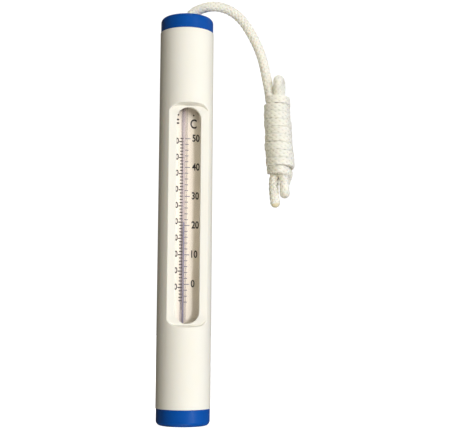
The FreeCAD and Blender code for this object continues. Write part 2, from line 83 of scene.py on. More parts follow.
def add_camera():
    data = bpy.data.cameras.new("camera")
    data.lens = CAMERA_LENS
    data.sensor_width = 36.0
    data.clip_start = 0.01
    camera = add_object("camera", data)
    turn = Matrix.Rotation(CAMERA_AZIMUTH, 4, "Z")
    pitch = Matrix.Rotation(math.pi / 2 + CAMERA_PITCH, 4, "X")
    roll = Matrix.Rotation(CAMERA_ROLL, 4, "Z")
    camera.matrix_world = Matrix.Translation(CAMERA_PLACE) @ turn @ pitch @ roll
    bpy.context.scene.camera = camera


add_camera()

# ---- cord: route -----------------------------------------------------------------------------

CORD_DIAMETER = 0.0048
CORD_AZIMUTH = math.radians(-11.04)

# From the knot to the hank: reach from the tube's axis and height.
LEAD_ROUTE = [
    (0.0, 0.1983),
    (0.0, 0.2057),
    (0.0085, 0.2100),
    (0.0150, 0.2107),
    (0.0213, 0.2089),
    (0.0272, 0.2046),
    (0.0320, 0.1976),
    (0.0360, 0.1899),
    (0.0387, 0.1822),
    (0.0403, 0.1748),
    (0.0415, 0.1684),
    (0.0422, 0.1642),
]

# The hank's own frame: x across, y away from the window's side, z up its leaning axis.
HANK_REACH = 0.04675
HANK_HEIGHT = 0.1443
HANK_LEAN = math.radians(3.1)
WRAP_TURNS = 9
WRAP_POINTS = 12
WRAP_TOP = 0.0176
WRAP_PITCH = 0.00392
WRAP_HALF_WIDTH = 0.0046
WRAP_HALF_DEPTH = 0.0066
WRAP_SPREAD = 0.08  # how much wider the lowest wrap is than the middle one, as a share
# How the wraps wander off an even oval: size, rate by the turn and phase of each wave.
WRAP_SLACK = ((0.016, 2.3, 0.7), (0.012, 5.1, 0.0))
WRAP_SWAY = (0.00022, 1.7, 1.0)
WRAP_SHIFT = -0.0002
WRAP_RISE = (0.00012, 3.9, 0.0)

# After the wraps: round to the back, down and round the lower fold, up the core, over the top fold, down the
# core and out at the end.
CORE_ROUTE = [
    (-0.0036, -0.0040, -0.0180),
    (-0.0006, -0.0066, -0.0187),
    (0.0026, -0.0042, -0.0195),
    (0.0037, -0.0004, -0.0203),
    (0.0030, 0.0026, -0.0222),
    (0.0016, 0.0034, -0.0256),
    (0.0016, 0.0029, -0.0300),
    (0.0013, -0.0029, -0.0302),
    (0.0012, -0.0030, -0.0240),
    (0.0003, -0.0025, -0.0160),
    (-0.0002, -0.0024, -0.0060),
    (0.0000, -0.0024, 0.0060),
    (0.0003, -0.0025, 0.0160),
    (0.0007, -0.0028, 0.0225),
    (0.0009, -0.0028, 0.0280),
    (0.0026, 0.0028, 0.0280),
    (0.0024, 0.0028, 0.0225),
    (0.0010, 0.0025, 0.0160),
    (0.0001, 0.0024, 0.0060),
    (-0.0001, 0.0024, -0.0060),
    (-0.0008, 0.0020, -0.0145),
    (-0.0032, 0.0004, -0.0205),
    (-0.0040, -0.0002, -0.0260),
    (-0.0040, -0.0012, -0.0315),
    (-0.0034, -0.0016, -0.0372),
]


def cord_point(reach, height):
    return Vector((reach * math.cos(CORD_AZIMUTH), reach * math.sin(CORD_AZIMUTH), height))


def hank_frame():
    turn = Matrix.Rotation(CORD_AZIMUTH, 4, "Z")
    lean = Matrix.Rotation(-HANK_LEAN, 4, "Y")
    return Matrix.Translation(cord_point(HANK_REACH, HANK_HEIGHT)) @ turn @ lean


def wander(wave, turns):
    size, rate, phase = wave
    return size * math.sin(rate * turns + phase)


def wrap_points():
    """Oval turns from the left at the top, over the front, down to the left at the bottom."""
    points = []
    for step in range(1, WRAP_TURNS * WRAP_POINTS):
        turns = step / WRAP_POINTS
        angle = math.pi + 2 * math.pi * turns
        spread = WRAP_SPREAD * (turns / WRAP_TURNS - 0.5) * 2
        slack = sum((wander(wave, turns) for wave in WRAP_SLACK), 1 + spread)
        sway = wander(WRAP_SWAY, turns) + WRAP_SHIFT
        height = WRAP_TOP - WRAP_PITCH * turns + wander(WRAP_RISE, turns)
        x = WRAP_HALF_WIDTH * slack * math.cos(angle) + sway
        points.append((x, WRAP_HALF_DEPTH * slack * math.sin(angle), height))
    return points


def route_line(name, points):
    """Points along the smooth NURBS line that has these control points."""
    curve = bpy.data.curves.new(name, "CURVE")
    curve.dimensions = "3D"
    curve.resolution_u = 16
    spline = curve.splines.new("NURBS")
    spline.points.add(len(points) - 1)
    for control, point in zip(spline.points, points):
        control.co = (*point, 1.0)
    spline.order_u = 3
    spline.use_endpoint_u = True
    route = add_object(name, curve)
    mesh = bpy.data.meshes.new_from_object(route)
    line = np.array([vertex.co[:] for vertex in mesh.vertices])
    bpy.data.meshes.remove(mesh)
    bpy.data.objects.remove(route)
    bpy.data.curves.remove(curve)
    return line


def cord_route():
    hank = hank_frame()
    wound = [hank @ Vector(point) for point in wrap_points() + CORE_ROUTE]
    return [cord_point(*point) for point in LEAD_ROUTE] + wound


# ---- cord: plaited cover ---------------------------------------------------------------------

CARRIERS = 6  # strands each way round
STRAND_SPACING = 0.0024
STRAND_HALF_WIDTH = 0.56  # of the strands' spacing
RING_SPACING = 0.00037
RING_POINTS = 56
RELIEF = 0.00044  # depth of the gap between strands
WEAVE = 0.0002  # how far a strand rises over the others and dips under them
CROWN = 0.00012  # how far the highest crossings stand out from the cord's diameter
SMALLEST_RING = 0.02  # of the cord's radius, at its closed ends
MELT_FADE = 0.4  # of the sealed tip's length
# Depth mark on the melted tip, past where the cord's material paints groove shade.
MELT_TONE = 0.85

# The wraps press each other square: half their height, how square, and where this starts.
WRAP_PRESSED = 0.00201
PRESS_POWER = 9
PRESS_FADE = 0.0022  # along the hank, past its first and last wrap
PRESS_INSIDE = 0.65  # of the wraps' oval; nearer its axis, nothing is pressed
PRESS_BLEND = 0.15  # of the oval, over which the pressing sets in


def even_line(line, spacing):
    """The line again, at even steps, with its tangents and the distance along it."""
    steps = np.linalg.norm(np.diff(line, axis=0), axis=1)
    distance = np.concatenate([[0], np.cumsum(steps)])
    count = int(round(distance[-1] / spacing)) + 1
    along = np.linspace(0, distance[-1], count)
    points = np.stack([np.interp(along, distance, line[:, axis]) for axis in range(3)], axis=1)
    tangents = np.gradient(points, axis=0)
    tangents /= np.linalg.norm(tangents, axis=1)[:, None]
    return along, points, tangents


def carried_normals(tangents, first):
    """Normals carried along the line without twist."""
    normals = np.zeros_like(tangents)
    normal = np.array(first, float)
    for number, tangent in enumerate(tangents):
        normal = normal - tangent * normal.dot(tangent)
        normal /= np.linalg.norm(normal)
        normals[number] = normal
    return normals


def strand_height(across, other, first):
    """Height of one way's strands: round on top, and over and under the other way's by turns."""
    index = np.round(across)
    crown = np.sqrt(np.clip(1 - ((across - index) / STRAND_HALF_WIDTH) ** 2, 0, 1))
    wave = np.where(index % 2 == 0, first, -first) * np.cos(np.pi * other)
    return RELIEF * (crown - 1) + WEAVE * wave


def plait(across_a, across_b):
    """Height and top strand of a one-over-one plait, from the two strand counts at each point."""
    height_a = strand_height(across_a, across_b, 1)
    height_b = strand_height(across_b, across_a, -1)
    return np.maximum(height_a, height_b), (height_a > height_b).astype(float)


def pressed_wraps(points, offsets):
    """Offsets from the cord's line, squared off where the hank's wraps press on each other."""
    hank = np.array(hank_frame())
    local = (points - hank[:3, 3]) @ hank[:3, :3]
    out = np.hypot(local[:, 0] / WRAP_HALF_WIDTH, local[:, 1] / WRAP_HALF_DEPTH)
    end = WRAP_TOP + PRESS_FADE - np.abs(local[:, 2])
    share = np.clip(end / PRESS_FADE, 0, 1) * np.clip((out - PRESS_INSIDE) / PRESS_BLEND, 0, 1)
    axis = hank[:3, 2]
    along = (offsets @ axis)[:, :, None]
    outward = offsets - along * axis
    size = np.linalg.norm(offsets, axis=2, keepdims=True)
    spread = np.linalg.norm(outward, axis=2, keepdims=True)
    corner = ((np.abs(along) ** PRESS_POWER + spread**PRESS_POWER) / size**PRESS_POWER) ** (-1 / PRESS_POWER)
    squared = corner * (outward + along * axis * WRAP_PRESSED / (CORD_DIAMETER / 2))
    return offsets + share[:, None, None] * (squared - offsets)


def tube_faces(rings):
    """Quads between the rings of points, and a closing face at each end."""
    row = np.arange(rings - 1)[:, None] * RING_POINTS
    column = np.arange(RING_POINTS)[None, :]
    following = (column + 1) % RING_POINTS
    quads = np.stack(
        [row + column, row + following, row + RING_POINTS + following, row + RING_POINTS + column], axis=2
    ).reshape(-1, 4)
    first_ring = list(range(RING_POINTS))[::-1]
    last_ring = [(rings - 1) * RING_POINTS + i for i in range(RING_POINTS)]
    return quads.tolist() + [first_ring, last_ring]


def mark_points(mesh, height, top, melt):
    """What the cord's material reads at each point: depth between strands, which it paints as shade in the
    grooves, top strand and melting.
    """
    depth = np.clip((height + RELIEF + WEAVE) / (RELIEF + 2 * WEAVE), 0, 1)
    tone = depth * (1 - melt) + MELT_TONE * melt
    # The relief mark is the depth between strands; the cord's material turns it into painted groove shade,
    # with none on the melted tip.
    for attribute, values in (("relief", tone), ("top_strand", top), ("melt", melt + 0 * top)):
        layer = mesh.attributes.new(attribute, "FLOAT", "POINT")
        layer.data.foreach_set("value", values.reshape(-1).astype(np.float32))


def mark_strands(mesh, around, lay):
    """UVs that count across the strands of both ways."""
    rings = len(lay)
    turn_start = np.broadcast_to(around, (rings, RING_POINTS))[:-1]
    turn_end = turn_start + CARRIERS / RING_POINTS
    low = np.broadcast_to(lay, (rings, RING_POINTS))[:-1]
    high = np.broadcast_to(lay, (rings, RING_POINTS))[1:]
    corners = [(turn_start, low), (turn_end, low), (turn_end, high), (turn_start, high)]
    uv = np.stack([np.stack([turn + step, turn - step], axis=2) for turn, step in corners], axis=2)
    caps = np.zeros((2 * RING_POINTS, 2))
    strands = mesh.uv_layers.new(name="strands")
    strands.data.foreach_set("uv", np.concatenate([uv.reshape(-1, 2), caps]).reshape(-1).astype(np.float32))


def plaited_tube(name, line, diameter, sealed, press=None):
    """Closed mesh of a plaited cord along the line; sealed is the length of the melted tip at its end."""
    along, points, tangents = even_line(line, RING_SPACING)
    normals = carried_normals(tangents, (0, 1, 0))
    binormals = np.cross(tangents, normals)
    angle = np.linspace(0, 2 * np.pi, RING_POINTS, endpoint=False)
    lay = along[:, None] / STRAND_SPACING
    around = CARRIERS * angle[None, :] / (2 * np.pi)
    height, top = plait(around + lay, around - lay)
    melt = np.clip((along - (along[-1] - sealed)) / (MELT_FADE * sealed), 0, 1)[:, None]
    radius = diameter / 2 - WEAVE + CROWN + height * (1 - melt)
    nose = diameter / 2
    to_end = np.minimum(along, along[-1] - along)
    close = np.sqrt(np.clip(1 - ((nose - to_end) / nose).clip(0, 1) ** 2, 0, 1))
    radius = radius * np.maximum(close, SMALLEST_RING)[:, None]
    across, up = np.cos(angle)[None, :, None], np.sin(angle)[None, :, None]
    ring = across * normals[:, None, :] + up * binormals[:, None, :]
    offsets = radius[:, :, None] * ring
    if press:
        offsets = press(points, offsets)
    vertices = (points[:, None, :] + offsets).reshape(-1, 3)
    mesh = bpy.data.meshes.new(name)
    mesh.from_pydata(vertices.tolist(), [], tube_faces(len(along)))
    mesh.polygons.foreach_set("use_smooth", [True] * len(mesh.polygons))
    mark_points(mesh, height, top, melt)
    mark_strands(mesh, around, lay)
    mesh.update()
    return add_object(name, mesh)


# ---- materials -------------------------------------------------------------------------------


class Paint:
    """A node material with short calls for the nodes used here."""

    def __init__(self, name):
        self.material = bpy.data.materials.new(name)
        self.material.use_nodes = True
        self.nodes = self.material.node_tree.nodes
        self.links = self.material.node_tree.links
        self.nodes.clear()
        self.output = self.add("ShaderNodeOutputMaterial")

    def add(self, kind, **inputs):
        node = self.nodes.new(kind)
        self.fill(node, inputs)
        return node

    def fill(self, node, inputs):
        for name, value in inputs.items():
            socket = node.inputs[name.replace("_", " ")]
            if isinstance(value, bpy.types.NodeSocket):
                self.links.new(value, socket)
            else:
                socket.default_value = value

    def place(self, stretch=(1, 1, 1)):
        """Object coordinates, stretched."""
        here = self.add("ShaderNodeTexCoord").outputs["Object"]
        return self.add("ShaderNodeMapping", Vector=here, Scale=stretch).outputs["Vector"]

    def noise(self, scale, detail, stretch=(1, 1, 1)):
        at = self.place(stretch)
        node = self.add("ShaderNodeTexNoise", Vector=at, Scale=scale, Detail=detail, Roughness=0.5)
        return node.outputs["Fac"]

    def blend(self, share, low, high):
        """Colour between two colours."""
        node = self.add("ShaderNodeMix")
        node.data_type = "RGBA"
        for socket, value in ((0, share), (6, low), (7, high)):
            if isinstance(value, bpy.types.NodeSocket):
                self.links.new(value, node.inputs[socket])
            else:
                node.inputs[socket].default_value = value
        return node.outputs[2]

    def span(self, value, low, high, start=0.0, end=1.0):
        """Value moved from one range to another, and held there."""
        node = self.add("ShaderNodeMapRange", Value=value)
        for name, limit in (("From Min", start), ("From Max", end), ("To Min", low), ("To Max", high)):
            node.inputs[name].default_value = limit
        return node.outputs["Result"]

    def sum(self, kind, first, second=0.5, third=0.5):
        """One sum of this kind, such as MULTIPLY_ADD; a kind that needs fewer values ignores the rest."""
        node = self.nodes.new("ShaderNodeMath")
        node.operation = kind
        for socket, value in zip(node.inputs, (first, second, third)):
            if isinstance(value, bpy.types.NodeSocket):
                self.links.new(value, socket)
            else:
                socket.default_value = value
        return node.outputs[0]

    def bump(self, height, depth):
        return self.add("ShaderNodeBump", Height=height, Distance=depth, Strength=1.0).outputs["Normal"]

    def surface(self, **inputs):
        shader = self.add("ShaderNodeBsdfPrincipled")
        self.fill(shader, inputs)
        self.links.new(shader.outputs[0], self.output.inputs["Surface"])
        return self.material


def moulded_plastic(name, low, high, roughness, coat=0.0, scatter=0.0, shine=0.5):
    """Moulded plastic: faint tone drift, draw marks along the tube and a fine surface grain."""
    paint = Paint(name)
    drift = paint.noise(38.0, 2.0)
    marks = paint.noise(260.0, 4.0, (1, 1, 0.08))
    grain = paint.noise(2600.0, 2.0)
    finish = paint.span(marks, roughness - 0.05, roughness + 0.07, 0.3, 0.7)
    relief = paint.sum("MULTIPLY_ADD", marks, 0.6, grain)
    return paint.surface(
        Base_Color=paint.blend(drift, low, high),
        Roughness=finish,
        Specular_IOR_Level=shine,
        Normal=paint.bump(relief, 0.00002),
        Coat_Weight=coat,
        Coat_Roughness=0.12,
        Subsurface_Weight=scatter,
        Subsurface_Radius=(0.004, 0.003, 0.002),
        Subsurface_Scale=1.0,
    )


def clear_material(name, tint, shine, edge_tint):
    """Clear sheet or glass that lets light straight through, darker and shinier where it is seen edge on."""
    paint = Paint(name)
    dust = paint.noise(420.0, 3.0)
    facing = paint.add("ShaderNodeLayerWeight", Blend=0.35).outputs["Facing"]
    colour = paint.blend(paint.sum("POWER", facing, 3.0), tint, edge_tint)
    through = paint.add("ShaderNodeBsdfTransparent", Color=colour)
    gloss = paint.add("ShaderNodeBsdfGlossy", Roughness=paint.span(dust, 0.02, 0.10, 0.4, 0.8))
    fresnel = paint.add("ShaderNodeFresnel", IOR=1.45).outputs["Fac"]
    mix = paint.add("ShaderNodeMixShader", Fac=paint.sum("MULTIPLY", fresnel, shine))
    paint.links.new(through.outputs[0], mix.inputs[1])
    paint.links.new(gloss.outputs[0], mix.inputs[2])
    paint.links.new(mix.outputs[0], paint.output.inputs["Surface"])
    return paint.material


# The wash: how far left of the card's middle, and its half width where it starts and stops fading.
WASH_OFFSET = 0.0008
WASH_FULL = 0.0006
WASH_NONE = 0.0011


def printed_card(name):
    """Printed plastic card: matt, with a fine tooth and a faint lilac wash under the stem."""
    paint = Paint(name)
    tooth = paint.noise(1800.0, 4.0)
    cloud = paint.noise(60.0, 2.0)
    across = paint.add("ShaderNodeSeparateXYZ", Vector=paint.place()).outputs["X"]
    aside = paint.sum("ABSOLUTE", paint.sum("ADD", across, WASH_OFFSET))
    wash = paint.span(aside, 1.0, 0.0, WASH_FULL, WASH_NONE)
    plain = paint.blend(cloud, srgb(250, 242, 232), srgb(253, 246, 238))
    washed = paint.blend(cloud, srgb(240, 230, 232), srgb(244, 235, 236))
    return paint.surface(
        Base_Color=paint.blend(wash, plain, washed),
        Roughness=paint.span(tooth, 0.5, 0.7),
        Normal=paint.bump(tooth, 0.00001),
    )


def ink(name, colour, faded):
    """Printed ink, a little uneven."""
    paint = Paint(name)
    speckle = paint.noise(3200.0, 3.0)
    share = paint.span(speckle, 0.0, 1.0, 0.35, 0.85)
    return paint.surface(Base_Color=paint.blend(share, colour, faded), Roughness=0.45)


def spirit_material(name):
    paint = Paint(name)
    depth = paint.noise(300.0, 2.0, (1, 1, 0.1))
    return paint.surface(
        Base_Color=paint.blend(depth, srgb(188, 184, 214), srgb(200, 196, 222)),
        Roughness=0.12,
        Coat_Weight=0.5,
    )


def rubber(name, colour, worn):
    paint = Paint(name)
    bloom = paint.noise(500.0, 5.0)
    grain = paint.noise(4200.0, 2.0)
    return paint.surface(
        Base_Color=paint.blend(paint.span(bloom, 0.0, 0.6, 0.4, 0.9), colour, worn),
        Roughness=paint.span(bloom, 0.55, 0.8),
        Normal=paint.bump(grain, 0.00003),
    )


def steel(name, colour, stain):
    """Turned steel: fine rings of tool marks and a little staining."""
    paint = Paint(name)
    rings = paint.noise(900.0, 3.0, (0.05, 0.05, 3.0))
    spots = paint.noise(220.0, 4.0)
    return paint.surface(
        Base_Color=paint.blend(paint.span(spots, 0.0, 0.7, 0.5, 0.9), colour, stain),
        Metallic=1.0,
        Roughness=paint.span(rings, 0.28, 0.48),
        Normal=paint.bump(rings, 0.00002),
    )


def foam(name):
    paint = Paint(name)
    cells = paint.add("ShaderNodeTexVoronoi", Vector=paint.place(), Scale=1600.0).outputs["Distance"]
    return paint.surface(
        Base_Color=paint.blend(cells, srgb(38, 38, 42), srgb(78, 78, 84)),
        Roughness=0.95,
        Normal=paint.bump(cells, 0.0003),
    )


FIBRES = 7  # across a strand


def cord_material(name):
    """Plaited polyester: fibres along the strand on top, painted shade in the grooves between strands,
    glassy where melted.
    """
    paint = Paint(name)
    strands = paint.add("ShaderNodeSeparateXYZ", Vector=paint.add("ShaderNodeUVMap").outputs["UV"])
    marks = {}
    for attribute in ("relief", "top_strand", "melt"):
        node = paint.add("ShaderNodeAttribute")
        node.attribute_name = attribute
        marks[attribute] = node.outputs["Fac"]
    fray = paint.sum("MULTIPLY", paint.noise(900.0, 3.0), 3.0)
    fibres = []
    for axis in ("X", "Y"):
        phase = paint.sum("MULTIPLY_ADD", strands.outputs[axis], FIBRES * 2 * math.pi, fray)
        fibres.append(paint.span(paint.sum("SINE", phase, 0.0), 0.0, 1.0, -1.0, 1.0))
    other = paint.sum("SUBTRACT", 1.0, marks["top_strand"])
    over = paint.sum("MULTIPLY", fibres[0], marks["top_strand"])
    fibre = paint.sum("MULTIPLY_ADD", fibres[1], other, over)
    solid = paint.sum("SUBTRACT", 1.0, marks["melt"])
    fuzz = paint.noise(5200.0, 2.0)
    height = paint.sum("MULTIPLY", paint.sum("MULTIPLY_ADD", fuzz, 0.5, fibre), solid)
    yarn = paint.blend(paint.noise(120.0, 3.0), srgb(250, 247, 235), srgb(255, 253, 246))
    # Painted shade: the deeper between strands, the more the yarn colour goes to a dark, yellowish brown.
    painted_groove_shade = paint.blend(paint.span(marks["relief"], 1.0, 0.0, 0.1, 0.8), yarn, srgb(104, 96, 62))
    fibre_tone = paint.blend(paint.span(fibre, 0.0, 0.15), painted_groove_shade, srgb(216, 208, 176))
    colour = paint.blend(marks["melt"], fibre_tone, srgb(232, 222, 190))
    return paint.surface(
        Base_Color=colour,
        Roughness=paint.span(marks["melt"], 0.72, 0.3),
        Sheen_Weight=paint.span(marks["melt"], 0.35, 0.0),
        Sheen_Roughness=0.4,
        Subsurface_Weight=0.3,
        Subsurface_Radius=(0.002, 0.0016, 0.0012),
        Subsurface_Scale=1.0,
        Normal=paint.bump(height, 0.00005),
    )


SHELL = moulded_plastic("shell_plastic", srgb(250, 246, 232), srgb(253, 250, 240), 0.36, 0.1, 0.1)
BLUE = moulded_plastic("cap_plastic", srgb(0, 72, 156), srgb(0, 80, 167), 0.36, shine=0.42)
INNER = moulded_plastic("inner_plastic", srgb(226, 218, 200), srgb(234, 228, 212), 0.5)
LENS = clear_material("lens_plastic", (0.99, 0.99, 0.985, 1), 0.3, (0.92, 0.94, 0.94, 1))
GLASS = clear_material("stem_glass", (0.985, 0.98, 0.99, 1), 0.35, (0.86, 0.85, 0.9, 1))
CARD = printed_card("scale_card")
SPIRIT = spirit_material("spirit")
BLACK_RUBBER = rubber("black_rubber", srgb(24, 24, 26), srgb(70, 70, 72))
GREY_RUBBER = rubber("grey_rubber", srgb(120, 118, 112), srgb(160, 158, 150))
BALLAST = steel("ballast_steel", srgb(170, 170, 176), srgb(110, 96, 84))
WASHER = steel("washer_steel", srgb(206, 206, 210), srgb(160, 156, 150))
FOAM = foam("pad_foam")
BLACK_INK = ink("black_ink", srgb(26, 26, 34), srgb(70, 66, 76))
PALE_INK = ink("pale_ink", srgb(126, 120, 142), srgb(176, 170, 184))
CORD = cord_material("plaited_cord")

NODE_MATERIALS = {
    "housing_tube": SHELL,
    "bottom_cap": BLUE,
    "top_cap": BLUE,
    "window_lens": LENS,
    "lens_gasket": GREY_RUBBER,
    "bottom_cap_o_ring": BLACK_RUBBER,
    "top_bulkhead_o_ring": BLACK_RUBBER,
    "bulb_boot": BLACK_RUBBER,
    "ballast_weight": BALLAST,
    "ballast_pad": FOAM,
    "lower_scale_holder": INNER,
    "upper_scale_holder": INNER,
    "lower_stem_clip": INNER,
    "upper_stem_clip": INNER,
    "top_bulkhead": INNER,
    "scale_plate": CARD,
    "capillary_tube": GLASS,
    "bulb_spirit": SPIRIT,
    "spirit_meniscus": SPIRIT,
    "cord_washer": WASHER,
}


def paint_nodes():
    for node, material in NODE_MATERIALS.items():
        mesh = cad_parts[node].data
        mesh.materials.clear()
        mesh.materials.append(material)


paint_nodes()


# ---- cord pieces -----------------------------------------------------------------------------

SEALED_TIP = 0.0022
KNOT_POINTS = 48
KNOT_TAIL = 0.0030  # height under the knot
KNOT_START = 0.04  # of a turn round the knot, from where the cord comes in
KNOT_SHARE = 0.90  # of a whole turn
KNOT_RISE = 0.0021
KNOT_END = 0.4  # of the cord's diameter, from its line's ends to the knot's box
KNOT_TIGHTNESS = 0.8  # of the cord's diameter
TREFOIL_REACH = 3.0  # of the knot's formula, for a swing of 1


def add_cord():
    line = route_line("cord_route", cord_route())
    piece = plaited_tube("tether_cord", line, CORD_DIAMETER, SEALED_TIP, pressed_wraps)
    piece.data.materials.append(CORD)
    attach(piece, "root")
    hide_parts("cord_lead", "cord_hank")
    return piece, line


def knot_points():
    """Overhand knot under the cord's lower end, with its tail below."""
    low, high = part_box("cord_knot")
    width = high.x - low.x
    middle = low.z + KNOT_TAIL + (high.z - low.z - KNOT_TAIL) / 2
    swing = (width - CORD_DIAMETER) / 2 / TREFOIL_REACH
    points = [Vector((0.0, 0.0, high.z - CORD_DIAMETER * KNOT_END))]
    for step in range(KNOT_POINTS):
        angle = math.pi / 2 + 2 * math.pi * (KNOT_START + KNOT_SHARE * step / (KNOT_POINTS - 1))
        x = swing * (math.sin(angle) + 2 * math.sin(2 * angle))
        y = swing * (math.cos(angle) - 2 * math.cos(2 * angle))
        z = middle - KNOT_RISE * math.sin(3 * angle)
        points.append(Vector((x, y, z)))
    points.append(Vector((0.0, 0.0, low.z + CORD_DIAMETER * KNOT_END)))
    return points


def add_knot():
    line = route_line("knot_route", knot_points())
    piece = plaited_tube("tether_knot", line, CORD_DIAMETER * KNOT_TIGHTNESS, SEALED_TIP)
    piece.data.materials.append(CORD)
    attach(piece, "root")
    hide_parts("cord_knot")
    return piece


tether, tether_line = add_cord()
knot = add_knot()


# ---- printed scale ---------------------------------------------------------------------------

# Heights of 0 degrees C and of one degree, and the degrees that have a tick.
ZERO_HEIGHT = 0.0687
DEGREE_HEIGHT = 0.001476
CELSIUS_DEGREES = range(-6, 51, 2)
FAHRENHEIT_DEGREES = range(22, 123, 2)
FIGURE_EVERY = 10

INK_THICKNESS = 0.00003
INK_GAP = 0.000002  # between the ink and the card
STEM_X = -0.0004
BLACK_TICK = 0.00055
PALE_TICK = 0.0004
# From the stem's middle: the ticks' near end, and their far ends without and with a figure.
CELSIUS_TICKS = (0.0005, 0.0023, 0.0032)
FAHRENHEIT_TICKS = (-0.0004, -0.0019, -0.0025)
CELSIUS_LEFT = 0.0038
FAHRENHEIT_RIGHT = -0.0031
CELSIUS_DIGITS = 0.0037
FAHRENHEIT_DIGITS = 0.0030
LETTER_SIZE = 0.0048
LETTER_HEIGHT = 0.1498
LETTER_LEFT = 0.0027
DEGREE_SIGN_SIZE = 0.0011
DEGREE_SIGN_LEFT = 0.0040
DEGREE_SIGN_LIFT = 0.0044
# Painted shade: a thin dark line on the card just left of the stem, for the dark left edge of the glass
# stem; its left and right edges, then its lowest and highest points.
STEM_EDGE_SHADE = (-0.0012, -0.00095)
STEM_EDGE_SHADE_LOW = 0.0560
STEM_EDGE_SHADE_HIGH = 0.1600
FONT_SIZE = 1.37  # of a figure's height
FIGURE_SQUEEZE = 0.76
FIGURE_LIFT = 0.0004
FIGURE_WEIGHT = 0.00012


def ink_box(low, high):
    """Corners and faces of a thin printed bar."""
    corners = [Vector(corner) for corner in itertools.product(*zip(low, high))]
    faces = [(0, 1, 3, 2), (4, 6, 7, 5), (0, 4, 5, 1), (2, 3, 7, 6), (0, 2, 6, 4), (1, 5, 7, 3)]
    return corners, faces


def printed(name, blocks, material):
    """One mesh of many closed printed bars or figures."""
    vertices = []
    faces = []
    for corners, sides in blocks:
        start = len(vertices)
        vertices.extend(corners)
        faces.extend([tuple(start + corner for corner in side) for side in sides])
    mesh = bpy.data.meshes.new(name)
    mesh.from_pydata(vertices, [], faces)
    mesh.materials.append(material)
    mesh.update()
    piece = add_object(name, mesh)
    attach(piece, "root")
    return piece


def tick(face, height, ends, named, width):
    near, plain_end, named_end = ends
    left, right = sorted((STEM_X + near, STEM_X + (named_end if named else plain_end)))
    half = width / 2
    return ink_box((left, face - INK_THICKNESS, height - half), (right, face - INK_GAP, height + half))


def figure(text, size, left, right, height, face):
    """Solid figures of the text, standing on the card's face, against the given left or right end."""
    curve = bpy.data.curves.new("figure", "FONT")
    curve.body = text
    curve.size = size * FONT_SIZE
    curve.extrude = INK_THICKNESS / 2
    curve.offset = FIGURE_WEIGHT
    curve.resolution_u = 6
    holder = add_object("figure", curve)
    bpy.context.view_layer.update()
    mesh = bpy.data.meshes.new_from_object(holder)
    flat = [vertex.co.copy() for vertex in mesh.vertices]
    low_x = min(point.x for point in flat)
    high_x = max(point.x for point in flat)
    low_y = min(point.y for point in flat)
    high_y = max(point.y for point in flat)
    shift = left - low_x * FIGURE_SQUEEZE if left is not None else right - high_x * FIGURE_SQUEEZE
    lift = height + FIGURE_LIFT - (low_y + high_y) / 2
    middle = face - INK_THICKNESS / 2 - INK_GAP
    points = [Vector((point.x * FIGURE_SQUEEZE + shift, middle - point.z, point.y + lift)) for point in flat]
    faces = [tuple(polygon.vertices) for polygon in mesh.polygons]
    bpy.data.objects.remove(holder)
    bpy.data.curves.remove(curve)
    bpy.data.meshes.remove(mesh)
    return points, faces


def add_scale():
    """Both scales on the card: Fahrenheit to the left of the stem, Celsius to the right, and a painted shade
    line along the stem's left edge.
    """
    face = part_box("scale_plate")[0].y
    black = []
    pale = []
    for fahrenheit in FAHRENHEIT_DEGREES:
        height = ZERO_HEIGHT + DEGREE_HEIGHT * (fahrenheit - 32) / 1.8
        named = fahrenheit % FIGURE_EVERY == 0
        black.append(tick(face, height, FAHRENHEIT_TICKS, named, BLACK_TICK))
        if named:
            black.append(figure(str(fahrenheit), FAHRENHEIT_DIGITS, None, FAHRENHEIT_RIGHT, height, face))
    for celsius in CELSIUS_DEGREES:
        height = ZERO_HEIGHT + DEGREE_HEIGHT * celsius
        named = celsius % FIGURE_EVERY == 0
        pale.append(tick(face, height, CELSIUS_TICKS, named, PALE_TICK))
        if named:
            black.append(figure(str(celsius), CELSIUS_DIGITS, CELSIUS_LEFT, None, height, face))
    black.append(figure("C", LETTER_SIZE, LETTER_LEFT, None, LETTER_HEIGHT, face))
    black.append(figure("F", LETTER_SIZE, None, FAHRENHEIT_RIGHT, LETTER_HEIGHT, face))
    above = LETTER_HEIGHT + DEGREE_SIGN_LIFT
    black.append(figure("o", DEGREE_SIGN_SIZE, DEGREE_SIGN_LEFT, None, above, face))
    black.append(figure("o", DEGREE_SIGN_SIZE, None, FAHRENHEIT_RIGHT, above, face))
    # Painted shade: the dark line along the glass stem's left edge, printed in pale ink.
    low = (STEM_EDGE_SHADE[0], face - INK_THICKNESS, STEM_EDGE_SHADE_LOW)
    high = (STEM_EDGE_SHADE[1], face - INK_GAP, STEM_EDGE_SHADE_HIGH)
    stem_edge_shade_bar = [ink_box(low, high)]
    return [
        printed("scale_print", black, BLACK_INK),
        printed("scale_pale_ticks", pale, PALE_INK),
        printed("stem_edge_shade_line", stem_edge_shade_bar, PALE_INK),
    ]


PRINTED = add_scale()


# ---- spirit column ---------------------------------------------------------------------------

THREAD_SIDES = 24
THREAD_RINGS = 121


